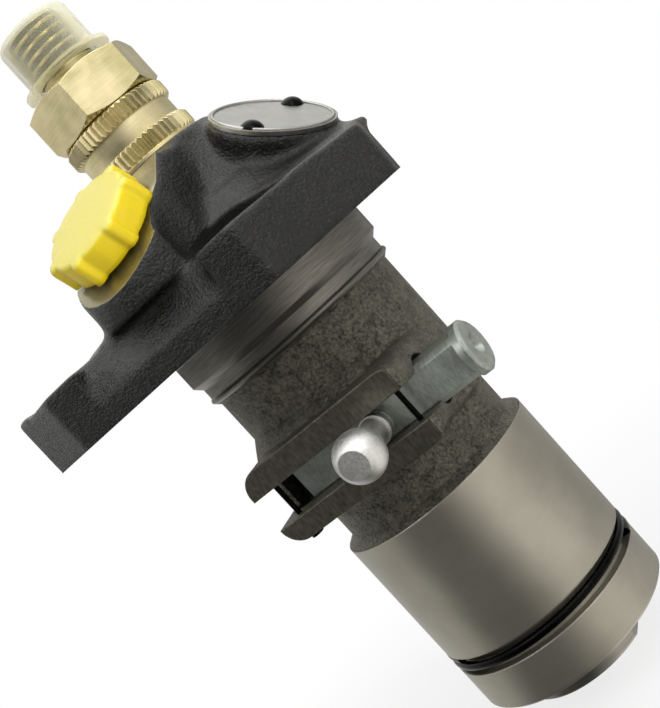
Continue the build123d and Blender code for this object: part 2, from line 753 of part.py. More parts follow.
def sector_tooth(turn):
    """One involute tooth of the sleeve's sector, turned about the pump axis."""
    angle = radians(pressure_angle)
    base_radius = sector_pitch_radius * cos(angle)
    tip_radius = sector_pitch_radius + addendum
    root_radius = sector_pitch_radius - dedendum
    half_at_pitch = (pi / 2 * module - backlash / 2) / (2 * sector_pitch_radius)
    half_at_base = half_at_pitch + tan(angle) - angle
    right = involute_flank(base_radius, tip_radius, half_at_base, 5)
    left = [(-x, y) for x, y in reversed(right)]
    foot_half = half_at_base * 180 / pi
    foot = [around(root_radius - 0.6, -foot_half), around(root_radius - 0.6, foot_half)]
    tooth = extrude(make_face(Polyline(*foot, *right, *left, close=True)), sector_height)
    return Rot(0, 0, turn) * Pos(0, 0, -sector_start - sector_height) * tooth


def control_sleeve():
    """The sleeve on the barrel: a toothed sector above, two slots for the plunger's vane below."""
    bore = barrel_radius + running_gap
    body = ring(sleeve_radius, bore, -sleeve_end, -sleeve_start)
    step = 360 / wheel_teeth
    spread = (sector_teeth / 2 + 0.3) * step
    root_radius = sector_pitch_radius - dedendum
    low, high = -sector_start - sector_height, -sector_start
    edge = [(0, 0), around(2 * root_radius, -spread), around(2 * root_radius, 0),
            around(2 * root_radius, spread)]
    wedge = Pos(0, 0, low) * extrude(make_face(Polyline(*edge, close=True)), sector_height)
    body += ring(root_radius, sleeve_radius - 0.5, low, high) & wedge
    for tooth in range(sector_teeth):
        body += sector_tooth((tooth - (sector_teeth - 1) / 2) * step)
    slot = block(-sleeve_radius - 1, sleeve_radius + 1, -vane_width / 2 - running_gap,
                 vane_width / 2 + running_gap, -sleeve_end - 1, -sleeve_slot_start)
    return body - slot


# ---------------------------------------------------------------- plunger spring

def upper_spring_plate():
    """The plate against the housing's shoulder, round the control sleeve."""
    inner = sleeve_radius + free_gap
    top = -spring_seat_depth - seat_gap
    return turned(
        (inner, top), (upper_plate_radius, top), (upper_plate_radius, -upper_plate_bottom - 1.2),
        (spring_radius + spring_wire / 2 + free_gap, -upper_plate_bottom - 1.2),
        (spring_radius + spring_wire / 2 + free_gap, -upper_plate_bottom),
        (inner, -upper_plate_bottom),
    )


def lower_spring_plate():
    """The plate hung on the plunger's foot, its rim resting in the tappet's cup."""
    inner = neck_radius + free_gap
    floor = -foot_bottom + seat_gap
    rim_inner = lower_plate_radius - spring_plate_sheet
    bottom = -lower_plate_top - spring_plate_sheet
    body = turned(
        (inner, -lower_plate_top), (lower_plate_radius, -lower_plate_top), (lower_plate_radius, floor),
        (rim_inner, floor), (rim_inner, bottom), (inner, bottom),
    )
    keyhole = block(0, lower_plate_radius + 1, -inner, inner, -foot_bottom - 1, -lower_plate_top + 1)
    return body - keyhole


def plunger_spring():
    """The spring that returns the plunger and holds the tappet on its cam."""
    low = -lower_plate_top + seat_gap
    high = -upper_plate_bottom - seat_gap
    pitch = (high - low - spring_wire) / spring_turns
    return coil(spring_radius, spring_wire / 2, low, pitch, spring_turns)


# ---------------------------------------------------------------- roller tappet

def tappet_body():
    """The tappet: a cup for the spring above, a fork for the roller below."""
    outer = tappet_bore_radius - running_gap
    body = turned(
        (0, -tappet_top), (outer, -tappet_top), (outer, -tappet_skirt_start),
        (tappet_skirt_radius, -tappet_skirt_start - 0.8),
        (tappet_skirt_radius, -tappet_end + tappet_chamfer),
        (tappet_skirt_radius - tappet_chamfer, -tappet_end), (0, -tappet_end),
    )
    body -= cylinder(tappet_cup_radius, -foot_bottom, -tappet_top + 1)
    body -= cylinder(thrust_pad_radius + seat_gap, -thrust_pad_bottom - seat_gap, -foot_bottom + 1)
    half = roller_width / 2 + free_gap / 2
    wheel_space = roller_radius + free_gap
    body -= bar_x(wheel_space, -half, half, 0, -roller_depth)
    body -= block(-half, half, -wheel_space, wheel_space, -tappet_end - 1, -roller_depth)
    body -= bar_x(roller_pin_radius + seat_gap, -2 * outer, 2 * outer, 0, -roller_depth)
    for side in (-1, 1):
        start, end = sorted((side * tappet_flat_x, side * 2 * outer))
        body -= block(start, end, -outer, outer, -tappet_end - 1, -tappet_skirt_start - 0.8)
    groove_top = -ring_groove_middle + guide_pin_radius + 2 * seat_gap
    groove_half = guide_pin_radius + running_gap
    body -= block(-2 * outer, -guide_groove_reach, -groove_half, groove_half,
                  -tappet_end - 1, groove_top)
    return body


def thrust_pad():
    """The hard disc under the plunger's foot, ground to set the plunger's height."""
    return cylinder(thrust_pad_radius, -thrust_pad_bottom, -foot_bottom - seat_gap)


def cam_roller():
    """The roller that runs on the cam."""
    half = roller_width / 2
    body = bar_x(roller_radius, -half, half, 0, -roller_depth)
    body = chamfer(body.edges().filter_by(GeomType.CIRCLE), roller_chamfer)
    return body - bar_x(bush_radius + seat_gap, -half - 1, half + 1, 0, -roller_depth)


def roller_bush():
    """The floating bush between the roller and its pin."""
    half = roller_width / 2
    body = bar_x(bush_radius, -half, half, 0, -roller_depth)
    return body - bar_x(roller_pin_radius + running_gap, -half - 1, half + 1, 0, -roller_depth)


def roller_pin():
    """The pin across the tappet's fork."""
    return bar_x(roller_pin_radius, -roller_pin_half_length, roller_pin_half_length, 0, -roller_depth)


def tappet_guide_pin():
    """The pin through the pilot's wall that keeps the tappet from turning or dropping out."""
    return bar_x(guide_pin_radius, -ring_groove_radius + free_gap, -guide_groove_reach - free_gap,
                 0, -ring_groove_middle)


def retaining_ring():
    """The round-wire spring ring, a little over one turn, that keeps the guide pin in."""
    low = -ring_groove_start - ring_groove_width + seat_gap
    radius = ring_groove_radius + ring_wire_radius + seat_gap
    return Rot(0, 0, -95) * coil(radius, ring_wire_radius, low, ring_pitch, ring_turns)


# ---------------------------------------------------------------- write the sub-parts

sub_parts = {
    "pump_housing": pump_housing,
    "plunger_barrel": plunger_barrel,
    "barrel_locating_pin": barrel_locating_pin,
    "plunger": plunger,
    "delivery_valve_seat": delivery_valve_seat,
    "delivery_valve": delivery_valve,
    "delivery_valve_spring": delivery_valve_spring,
    "valve_gasket": valve_gasket,
    "volume_reducer": volume_reducer,
    "delivery_valve_holder": delivery_valve_holder,
    "outlet_cap": outlet_cap,
    "inlet_cap": inlet_cap,
    "marking_plate": marking_plate,
    "plate_rivets": plate_rivets,
    "control_rack": control_rack,
    "rack_ball_stud": rack_ball_stud,
    "rack_stop_pins": rack_stop_pins,
    "control_sleeve": control_sleeve,
    "upper_spring_plate": upper_spring_plate,
    "plunger_spring": plunger_spring,
    "lower_spring_plate": lower_spring_plate,
    "tappet_body": tappet_body,
    "thrust_pad": thrust_pad,
    "cam_roller": cam_roller,
    "roller_bush": roller_bush,
    "roller_pin": roller_pin,
    "tappet_guide_pin": tappet_guide_pin,
    "retaining_ring": retaining_ring,
}

os.makedirs("parts", exist_ok=True)
for name, make in sub_parts.items():
    export_step(make(), f"parts/{name}.step")
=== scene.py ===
import math
import bmesh
import bpy
import numpy as np
from mathutils import Matrix, Vector


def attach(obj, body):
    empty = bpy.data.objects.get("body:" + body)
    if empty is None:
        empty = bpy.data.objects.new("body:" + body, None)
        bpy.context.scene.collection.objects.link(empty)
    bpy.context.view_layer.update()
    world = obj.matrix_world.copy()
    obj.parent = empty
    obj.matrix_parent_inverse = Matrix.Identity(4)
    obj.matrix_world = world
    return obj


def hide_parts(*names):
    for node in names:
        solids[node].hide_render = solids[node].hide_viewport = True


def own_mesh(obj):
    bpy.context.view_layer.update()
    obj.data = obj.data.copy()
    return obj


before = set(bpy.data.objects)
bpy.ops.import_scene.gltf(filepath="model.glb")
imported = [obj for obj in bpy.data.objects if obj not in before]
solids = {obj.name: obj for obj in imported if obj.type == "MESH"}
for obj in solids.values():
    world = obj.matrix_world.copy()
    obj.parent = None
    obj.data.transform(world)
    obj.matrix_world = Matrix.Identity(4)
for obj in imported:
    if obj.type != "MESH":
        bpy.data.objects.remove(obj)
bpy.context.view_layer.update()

# ------------------------------------------------------------------ viewpoint
# The camera stands close to the pump, a little right of the inlet, tipped slightly down and
# rolled so that the pump leans to the left.
axis_distance = 0.19285
view_bearing = math.radians(26)
tip_down = math.radians(4.51)
aim_right = math.radians(0.18)
lean = math.radians(42.2)
lens_mm = 58.7
sensor_mm = 36
nearest_seen = 0.01


def placed(name, data):
    """A new object, put in the scene."""
    made = bpy.data.objects.new(name, data)
    bpy.context.scene.collection.objects.link(made)
    return made


toward = Vector((math.sin(view_bearing), -math.cos(view_bearing), 0))
level_right = Vector((math.cos(view_bearing), math.sin(view_bearing), 0))
ahead = (-toward * math.cos(aim_right) + level_right * math.sin(aim_right)) * math.cos(tip_down)
ahead.z = -math.sin(tip_down)
right = ahead.cross(Vector((0, 0, 1))).normalized()
up = right.cross(ahead)
rolled_right = right * math.cos(lean) - up * math.sin(lean)
rolled_up = right * math.sin(lean) + up * math.cos(lean)
viewpoint = placed("viewpoint", bpy.data.cameras.new("viewpoint"))
viewpoint.data.lens = lens_mm
viewpoint.data.sensor_width = sensor_mm
viewpoint.data.clip_start = nearest_seen
rolled = Matrix((rolled_right, rolled_up, -ahead)).transposed().to_4x4()
viewpoint.matrix_world = Matrix.Translation(toward * axis_distance) @ rolled
bpy.context.scene.camera = viewpoint
bpy.context.scene.view_settings.view_transform = "Standard"

# ------------------------------------------------------------------ studio
# A white card floor under the roller, white all round, and soft boxes: one over the left shoulder,
# a tall narrow one and a high one on the right, and one overhead.  Metal sees lighter and darker
# walls instead of the white.
white = (1, 1, 1, 1)
room_fill = (0.25, 0.25, 0.25, 1)
wall_behind = (0.5, 0.49, 0.45, 1)
# each wall's bearing to the right in degrees, its tone and its warmth
walls = ((-150, 0.6, 0), (-110, 0.76, 0), (-58, 0.7, 0), (-34, 0.16, 0), (8, 0.12, 0.5),
         (30, 0.5, 1), (46, 1.12, 1), (78, 1.12, 1), (94, 0.8, 0.5), (140, 0.5, 0))
card_colour = (0.06, 0.06, 0.06, 1)
card_solid = 0.02
card_gone = 0.08
card_end = math.radians(20)
ceiling_colour = (1.25, 1.24, 1.21, 1)
ceiling_starts = 0.26
ceiling_full = 0.5
floor_level = -0.0864
floor_reach = 1.5
floor_colour = (0.9, 0.9, 0.9, 1)
shadow_core = 0.09
shadow_reach = 0.16
core_glow = 0.78


class Wiring:
    """Adds nodes to a node tree.  A value is a number, a colour or another node's output."""

    def __init__(self, tree):
        self.tree = tree

    def node(self, kind, **settings):
        made = self.tree.nodes.new("ShaderNode" + kind)
        for setting, choice in settings.items():
            setattr(made, setting, choice)
        return made

    def put(self, value, socket):
        if isinstance(value, bpy.types.NodeSocket):
            self.tree.links.new(value, socket)
        else:
            socket.default_value = value

    def maths(self, operation, first, second=0.0):
        made = self.node("Math", operation=operation)
        self.put(first, made.inputs[0])
        self.put(second, made.inputs[1])
        return made.outputs["Value"]

    def times(self, first, second):
        return self.maths("MULTIPLY", first, second)

    def plus(self, first, second):
        return self.maths("ADD", first, second)

    def minus(self, first, second):
        return self.maths("SUBTRACT", first, second)

    def larger(self, first, second):
        return self.maths("MAXIMUM", first, second)

    def spread(self, value, low, high, to_low=0.0, to_high=1.0, ease="LINEAR"):
        """The value's way from low to high, as a number from to_low to to_high."""
        made = self.node("MapRange", interpolation_type=ease)
        for socket, number in (("Value", value), ("From Min", low), ("From Max", high), ("To Min", to_low),
                               ("To Max", to_high)):
            self.put(number, made.inputs[socket])
        return made.outputs["Result"]

    def blend(self, share, first, second):
        made = self.node("Mix", data_type="RGBA")
        self.put(share, made.inputs["Factor"])
        self.put(first, made.inputs["A"])
        self.put(second, made.inputs["B"])
        return made.outputs["Result"]

    def blend_shaders(self, share, first, second):
        made = self.node("MixShader")
        self.put(share, made.inputs["Fac"])
        self.put(first, made.inputs[1])
        self.put(second, made.inputs[2])
        return made.outputs["Shader"]

    def apart(self, vector):
        """A vector's three numbers."""
        made = self.node("SeparateXYZ")
        self.put(vector, made.inputs["Vector"])
        return made.outputs["X"], made.outputs["Y"], made.outputs["Z"]

    def wall_tone(self, sight):
        """What metal sees in a direction: bands of wall, a low black card on the left, a pale ceiling."""
        across, away, rise = self.apart(sight)
        bearing = self.maths("ARCTAN2", across, self.times(away, -1))
        bands = self.node("ValToRGB")
        tones = bands.color_ramp.elements
        tones[0].color = tones[1].color = wall_behind
        for degrees_right, tone, warmth in walls:
            stop = tones.new(0.5 + degrees_right / 360)
            stop.color = (tone, tone * (0.99 - 0.025 * warmth), tone * (0.95 - 0.05 * warmth), 1)
        self.put(self.spread(bearing, -math.pi, math.pi), bands.inputs["Fac"])
        past_edge = self.spread(self.maths("ABSOLUTE", rise), card_solid, card_gone, ease="SMOOTHSTEP")
        past_end = self.maths("GREATER_THAN", bearing, card_end)
        walled = self.blend(self.larger(past_edge, past_end), card_colour, bands.outputs["Color"])
        climb = self.spread(rise, ceiling_starts, ceiling_full, ease="SMOOTHSTEP")
        return self.blend(climb, walled, ceiling_colour)


studio = bpy.data.worlds.new("studio")
bpy.context.scene.world = studio
studio.use_nodes = True
air = Wiring(studio.node_tree)
rays = air.node("LightPath").outputs
to_eye = air.larger(rays["Is Camera Ray"], rays["Is Transmission Ray"])
to_metal = air.wall_tone(air.node("TexCoord").outputs["Generated"])
air.put(air.blend(to_eye, air.blend(rays["Is Glossy Ray"], room_fill, to_metal), white),
        studio.node_tree.nodes["Background"].inputs["Color"])

sheet = bpy.data.meshes.new("floor")
corners = [(x * floor_reach, y * floor_reach, floor_level) for x, y in ((-1, -1), (1, -1), (1, 1), (-1, 1))]
sheet.from_pydata(corners, [], [(0, 1, 2, 3)])
floor = placed("floor", sheet)
paper = bpy.data.materials.new("white_card")
paper.use_nodes = True
surface = Wiring(paper.node_tree)
shaded = paper.node_tree.nodes["Principled BSDF"]
shaded.inputs["Base Color"].default_value = floor_colour
shaded.inputs["Roughness"].default_value = 0.9
shaded.inputs["Specular IOR Level"].default_value = 0.1
glow = surface.node("Emission")
glow.inputs["Color"].default_value = white
spot = surface.node("TexCoord").outputs["Object"]
from_middle = surface.node("VectorMath", operation="LENGTH")
surface.put(spot, from_middle.inputs[0])
fade = surface.spread(from_middle.outputs["Value"], shadow_core, shadow_reach, core_glow, 1.0, "SMOOTHSTEP")
rays = surface.node("LightPath").outputs
glow_share = surface.times(fade, surface.larger(rays["Is Camera Ray"], rays["Is Transmission Ray"]))
mirrored = surface.node("Emission")
surface.put(surface.wall_tone(spot), mirrored.inputs["Color"])
seen_plainly = surface.blend_shaders(glow_share, shaded.outputs["BSDF"], glow.outputs["Emission"])
surface.put(surface.blend_shaders(rays["Is Glossy Ray"], seen_plainly, mirrored.outputs["Emission"]),
            paper.node_tree.nodes["Material Output"].inputs["Surface"])
sheet.materials.append(paper)


def soft_box(name, place, aim, width, height, watts, mirrored=True):
    """A rectangular light aimed at a point, which metal mirrors or not."""
    lamp = bpy.data.lights.new(name, "AREA")
    lamp.shape = "RECTANGLE"
    lamp.size = width
    lamp.size_y = height
    lamp.energy = watts
    box = placed(name, lamp)
    direction = Vector(place) - Vector(aim)
    box.matrix_world = Matrix.Translation(place) @ direction.to_track_quat("Z", "Y").to_matrix().to_4x4()
    box.visible_glossy = mirrored


soft_box("left_soft_box", (-0.28, -0.62, 0.6), (0, 0, 0), 0.3, 0.3, 1.15)
soft_box("right_soft_box", (0.62, -0.32, 0.06), (0, 0, -0.03), 0.18, 0.6, 4.0, mirrored=False)
soft_box("high_right_soft_box", (0.53, -0.305, 0.51), (0, 0, 0.01), 0.25, 0.25, 1.3)
soft_box("top_soft_box", (0.1, 0.05, 0.8), (0, 0, 0), 0.8, 0.8, 3.4)

# ------------------------------------------------------------------ housing
# One iron casting.  The head is painted black, thinly over the sand's grain, and its inlet face
# and top are cut bare.  Below it the register is turned, the stem keeps its dark skin, the rack
# guide's front is milled, and the pilot is ground bright.
inlet_face = Vector((0, -0.0257, 0.0202))
inlet_tilt = math.radians(32)
out_of_inlet = Vector((0, -math.sin(inlet_tilt), math.cos(inlet_tilt)))
inlet_cut = 0.00012
inlet_plane = inlet_face - out_of_inlet * inlet_cut
port_reach = 0.0068
head_top = 0.0273
top_cut = 0.0001
top_plane = Vector((0, 0, head_top - top_cut))
union_seat_reach = 0.0108
plate_centre = Vector((0.0206, 0.0006, 0.019))
plate_turn = Matrix.Rotation(math.radians(-6), 4, "Z") @ Matrix.Rotation(math.radians(45), 4, "Y")
off_plate = plate_turn.to_3x3() @ Vector((0, 0, 1))
pad_reach = 0.0106
register_foot = -0.0087
guide_front = -0.0241
pilot_top = -0.0419
same_spot = 1e-6
sharp_from = math.radians(33)

bolt_circle = 0.0325
bolt_seat = 0.0097
pocket_radius = 0.009
bolt_bearings = [math.radians(bearing) for bearing in (32, -56, 161)]
bolts = [(bolt_circle * math.sin(bearing), -bolt_circle * math.cos(bearing)) for bearing in bolt_bearings]
cutter_sides = 64
cutter_height = 0.03
skirt_sides = 96
skirt_slope = ((0.031, 0.009), (0.031, 0.0102), (0.0275, 0.0109), (0.0245, 0.0117), (0.0215, 0.0134),
               (0.0195, 0.0158))
inlet_lobe_front = -0.0345


class Finish(Wiring):
    """A surface finish: its material and the wiring of its nodes."""

    def __init__(self, name, colour, roughness, metallic=0.0):
        self.material = bpy.data.materials.new(name)
        self.material.use_nodes = True
        super().__init__(self.material.node_tree)
        self.shader = self.tree.nodes["Principled BSDF"]
        self.wear(Base_Color=colour, Roughness=roughness, Metallic=metallic)
        self.place = self.node("TexCoord").outputs["Object"]

    def wear(self, **sockets):
        for name, value in sockets.items():
            self.put(value, self.shader.inputs[name.replace("_", " ")])
        return self.material

    def stretched(self, along):
        """Object coordinates stretched by the given factors."""
        mapping = self.node("Mapping")
        mapping.inputs["Scale"].default_value = along
        self.put(self.place, mapping.inputs["Vector"])
        return mapping.outputs["Vector"]

    def grain(self, size, detail=3.0, rough=0.5, place=None):
        """Soft noise whose lumps are about size metres across, from 0 to 1."""
        noise = self.node("TexNoise")
        noise.inputs["Scale"].default_value = 1 / size
        noise.inputs["Detail"].default_value = detail
        noise.inputs["Roughness"].default_value = rough
        self.put(place or self.place, noise.inputs["Vector"])
        return noise.outputs["Fac"]

    def height_off(self, point, direction):
        """Height above the plane through the point, along the direction."""
        along = self.node("VectorMath", operation="DOT_PRODUCT")
        self.put(self.place, along.inputs[0])
        along.inputs[1].default_value = direction
        return self.minus(along.outputs["Value"], point.dot(direction))

    def reach(self, centre=(0, 0)):
        """Distance from an upright axis through the centre."""
        x, y = self.apart(self.place)[:2]
        across = self.minus(x, centre[0])
        away = self.minus(y, centre[1])
        return self.maths("SQRT", self.plus(self.times(across, across), self.times(away, away)))

    def relief(self, height, depth, under=None):
        """Bump of the given depth in metres, on top of another bump."""
        bump = self.node("Bump")
        bump.inputs["Distance"].default_value = depth
        self.put(height, bump.inputs["Height"])
        if under:
            self.put(under, bump.inputs["Normal"])
        return bump.outputs["Normal"]

    def rounded(self, radius):
        """Shading that takes the sharpness off edges, over the given radius."""
        bevel = self.node("Bevel", samples=4)
        bevel.inputs["Radius"].default_value = radius
        return bevel.outputs["Normal"]


def linear(red, green, blue):
    """A colour for a shader, from the values that a screen shows."""
    return tuple(c / 12.92 if c <= 0.04045 else ((c + 0.055) / 1.055) ** 2.4 for c in (red, green, blue)) + (1,)


def dress(node, material):
    """Gives a solid its material."""
    mesh = solids[node].data
    mesh.materials.clear()
    mesh.materials.append(material)


def mesh_of(form, name):
    mesh = bpy.data.meshes.new(name)
    form.to_mesh(mesh)
    return mesh


def form_of(mesh):
    form = bmesh.new()
    form.from_mesh(mesh)
    return form


def as_modified(thing):
    """The object's mesh as its modifiers make it."""
    return bpy.data.meshes.new_from_object(thing.evaluated_get(bpy.context.evaluated_depsgraph_get()))


def join_rows(form, rows):
    """Closes a form that is given as rings of points, from one end to the other."""
    for first, second in zip(rows, rows[1:]):
        for step in range(len(first)):
            after = (step + 1) % len(first)
            form.faces.new((first[step], first[after], second[after], second[step]))
    form.faces.new(rows[0])
    form.faces.new(rows[-1])
    bmesh.ops.recalc_face_normals(form, faces=form.faces)


def cut_off(form, point, direction):
    """Takes away what lies beyond a plane."""
    bmesh.ops.bisect_plane(form, geom=form.verts[:] + form.edges[:] + form.faces[:], plane_co=point,
                           plane_no=direction, clear_outer=True)


def cut_and_close(form, point, direction):
    """Takes away what lies beyond a plane, and fills the opening."""
    cut_off(form, point, direction)
    bmesh.ops.triangle_fill(form, use_beauty=True, edges=[edge for edge in form.edges if edge.is_boundary])


def crease(form):
    """Shades the form smooth, but for its sharp edges."""
    for edge in form.edges:
        edge.smooth = len(edge.link_faces) != 2 or edge.calc_face_angle(0) <= sharp_from
    for face in form.faces:
        face.smooth = True


# a low skirt round the dome's foot, which the bolts' pockets are cut into
skirt = bmesh.new()
turns = [2 * math.pi * side / skirt_sides for side in range(skirt_sides)]
join_rows(skirt, [[skirt.verts.new((reach * math.cos(turn), reach * math.sin(turn), z)) for turn in turns]
                  for reach, z in skirt_slope])
skirt_blank = placed("skirt", mesh_of(skirt, "skirt"))
cutters = []
for x, y in bolts:
    cutter = bmesh.new()
    bmesh.ops.create_cone(cutter, cap_ends=True, segments=cutter_sides, radius1=pocket_radius,
                          radius2=pocket_radius, depth=cutter_height,
                          matrix=Matrix.Translation((x, y, bolt_seat + cutter_height / 2)))
    cutters.append(placed("pocket_cutter", mesh_of(cutter, "pocket_cutter")))
    cut = skirt_blank.modifiers.new("pocket", "BOOLEAN")
    cut.operation = "DIFFERENCE"
    cut.solver = "EXACT"
    cut.object = cutters[-1]
pocketed = form_of(as_modified(skirt_blank))
for spare in cutters + [skirt_blank]:
    bpy.data.objects.remove(spare)
cut_off(pocketed, (0, inlet_lobe_front, 0), (0, -1, 0))

# the head, from a fine grid: its edges soften a little and its inner corners fill as cast iron's do
grid = 0.00048
joint_height = 0.00015
under_joint = 0.001
fill_steps = 40
soften_steps = 7
step_share = 0.5
held_foot = 0.0006
along_face = 0.9
by_face = 0.0004
round_pocket = 0.0007
under_seat = 0.0006
drawn = form_of(solids["pump_housing"].data)
bmesh.ops.remove_doubles(drawn, verts=drawn.verts, dist=same_spot)
stem = drawn.copy()
cut_and_close(stem, (0, 0, joint_height), (0, 0, 1))
drawn.from_mesh(mesh_of(pocketed, "pocketed_skirt"))
blank = mesh_of(drawn, "cast_head")
cast_head = placed("cast_housing", blank)
gridded = cast_head.modifiers.new("grid", "REMESH")
gridded.mode = "VOXEL"
gridded.voxel_size = grid
head = form_of(as_modified(cast_head))
cast_head.modifiers.clear()
below = [vertex for vertex in head.verts if vertex.co.z < joint_height - under_joint]
bmesh.ops.delete(head, geom=below, context="VERTS")
head.verts.ensure_lookup_table()
head.verts.index_update()
head.normal_update()
spots = np.array([vertex.co for vertex in head.verts])
facing = np.array([vertex.normal for vertex in head.verts])
sides = np.array([(edge.verts[0].index, edge.verts[1].index) for edge in head.edges])
neighbours = np.bincount(sides.ravel(), minlength=len(spots))[:, None]

# what is machined stays as it is drawn
from_axis = np.hypot(spots[:, 0], spots[:, 1])
from_inlet = spots - np.array(inlet_face)
above_inlet = from_inlet @ np.array(out_of_inlet)
off_inlet_axis = np.linalg.norm(from_inlet - above_inlet[:, None] * np.array(out_of_inlet), axis=1)
on_inlet_face = (facing @ np.array(out_of_inlet) > along_face) & (np.abs(above_inlet) < by_face)
on_pad = facing @ np.array(off_plate) > along_face
on_pad &= np.linalg.norm(spots - np.array(plate_centre), axis=1) < pad_reach
in_pocket = np.zeros(len(spots), bool)
for x, y in bolts:
    in_pocket |= np.hypot(spots[:, 0] - x, spots[:, 1] - y) < pocket_radius + round_pocket
in_pocket &= spots[:, 2] > bolt_seat - under_seat
held = (spots[:, 2] < held_foot) | (from_axis < union_seat_reach) | on_inlet_face | on_pad
held |= (off_inlet_axis < port_reach) & (above_inlet < 0)

for step in range(fill_steps):
    if step == soften_steps:
        held |= in_pocket
    around = np.zeros_like(spots)
    for axis in range(3):
        around[:, axis] = (np.bincount(sides[:, 0], spots[sides[:, 1], axis], len(spots))
                           + np.bincount(sides[:, 1], spots[sides[:, 0], axis], len(spots)))
    move = around / neighbours - spots
    filling = (move * facing).sum(axis=1) > 0
    moving = ~held & (filling | (step < soften_steps))
    spots += (step_share * moving)[:, None] * move
for vertex, spot in zip(head.verts, spots):
    vertex.co = spot
cut_and_close(head, (0, 0, joint_height), (0, 0, -1))
cut_and_close(head, top_plane, (0, 0, 1))
cut_and_close(head, inlet_plane, out_of_inlet)
head.from_mesh(mesh_of(stem, "turned_stem"))
bmesh.ops.recalc_face_normals(head, faces=head.faces)
crease(head)
head.to_mesh(blank)

over_floor = 0.00005
into_wall = 0.0003
inner_rim = 0.003
outer_rim = 0.0005
step_blur = 0.0001
face_blur = 0.00002
grain_relief = 0.00026
skin_relief = 0.00036
lathe_relief = 0.000004
edge_round = 0.0004
casting = Finish("black_paint_over_casting", linear(0.1, 0.1, 0.1), 0.35)
casting.shader.inputs["Specular IOR Level"].default_value = 0.36
y, height = casting.apart(casting.place)[1:]
sand = casting.grain(0.00042, 3, 0.6)
coarse_sand = casting.grain(0.0022, 3, 0.55)
stem_grain = casting.grain(0.0005, 4, 0.62)
lathe = casting.grain(0.00022, 2, 0.5, casting.stretched((0.05, 0.05, 1)))
mill = casting.grain(0.0005, 4, 0.6, casting.stretched((1, 0.5, 0.4)))
tarnish = casting.grain(0.012, 3, 0.5)

# what the surface is at a place, and where painted shade goes in the bolts' pockets: each share is 1 there and
# 0 elsewhere
below_flange = casting.spread(height, -0.00005, 0.00002, 1, 0)
cast_skin = casting.times(casting.spread(height, register_foot, register_foot + step_blur, 1, 0),
                          casting.spread(height, pilot_top - step_blur / 2, pilot_top))
in_guide = casting.times(casting.spread(y, guide_front - step_blur / 2, guide_front, 1, 0), cast_skin)
rough_skin = casting.minus(cast_skin, in_guide)
on_pilot = casting.spread(height, pilot_top + 3 * step_blur, pilot_top + 6 * step_blur, 1, 0)
cut_bare = casting.larger(
    casting.spread(casting.height_off(inlet_plane, out_of_inlet), -2 * face_blur, -face_blur),
    casting.spread(height, top_plane.z - 2 * face_blur, top_plane.z - face_blur))
bare_metal = casting.larger(below_flange, cut_bare)
# painted shade: the walls of the bolts' pockets, up to a rim that stands higher towards the axis, are marked to
# be painted near black and made fully rough, as if no light from above reached them
near_bolt = 0.0
for centre in bolts:
    near_this = casting.spread(casting.reach(centre), pocket_radius + step_blur, pocket_radius + round_pocket,
                               1, 0)
    near_bolt = casting.larger(near_bolt, near_this)
rim_rise = casting.spread(casting.reach(), bolt_circle - pocket_radius, bolt_circle, inner_rim, outer_rim)
over_seat = casting.minus(height, bolt_seat)
on_wall = casting.times(casting.spread(over_seat, over_floor, into_wall),
                        casting.maths("LESS_THAN", over_seat, rim_rise))
pocket_wall_painted_shade = casting.times(near_bolt, on_wall)

paint = casting.blend(casting.spread(sand, 0.3, 0.7), linear(0.008, 0.008, 0.008), linear(0.115, 0.115, 0.112))
# painted shade: near black on the bolts' pocket walls
paint = casting.blend(pocket_wall_painted_shade, paint, linear(0.01, 0.01, 0.01))
skin_mottle = casting.plus(stem_grain, casting.times(coarse_sand, 0.5))
skin = casting.blend(casting.spread(skin_mottle, 0.5, 0.95), linear(0.12, 0.117, 0.1),
                     linear(0.45, 0.44, 0.39))
turned = casting.blend(casting.spread(lathe, 0.3, 0.7), linear(0.4, 0.39, 0.37), linear(0.5, 0.49, 0.465))
ground_mottle = casting.plus(casting.times(lathe, 0.2), tarnish)
ground = casting.blend(casting.spread(ground_mottle, 0.4, 0.8), linear(0.6, 0.585, 0.54),
                       linear(0.66, 0.645, 0.6))
milled = casting.blend(casting.spread(mill, 0.3, 0.7), linear(0.34, 0.33, 0.295), linear(0.48, 0.465, 0.42))
cut_face = casting.blend(casting.spread(tarnish, 0.35, 0.65), linear(0.5, 0.475, 0.375),
                         linear(0.58, 0.555, 0.455))
stem_colour = casting.blend(rough_skin, casting.blend(on_pilot, turned, ground), skin)
stem_colour = casting.blend(in_guide, stem_colour, milled)
paint_sheen = casting.larger(pocket_wall_painted_shade, casting.spread(coarse_sand, 0.3, 0.7, 0.17, 0.3))
lathe_marks = casting.relief(casting.times(lathe, below_flange), lathe_relief, casting.rounded(edge_round))
skin_bumps = casting.relief(casting.times(stem_grain, rough_skin), skin_relief, lathe_marks)
grain_share = casting.larger(rough_skin, casting.minus(1.0, bare_metal))
casting.wear(
    Base_Color=casting.blend(cut_bare, casting.blend(below_flange, paint, stem_colour), cut_face),
    Metallic=casting.minus(casting.spread(bare_metal, 0, 1, 0, 0.9), casting.times(rough_skin, 0.25)),
    Roughness=casting.blend(bare_metal, paint_sheen, casting.spread(rough_skin, 0, 1, 0.34, 0.42)),
    Normal=casting.relief(casting.times(casting.plus(sand, coarse_sand), grain_share), grain_relief,
                          skin_bumps),
)
blank.materials.clear()
blank.materials.append(casting.material)
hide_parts("pump_housing")
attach(cast_head, "housing")
dress("pump_housing", casting.material)

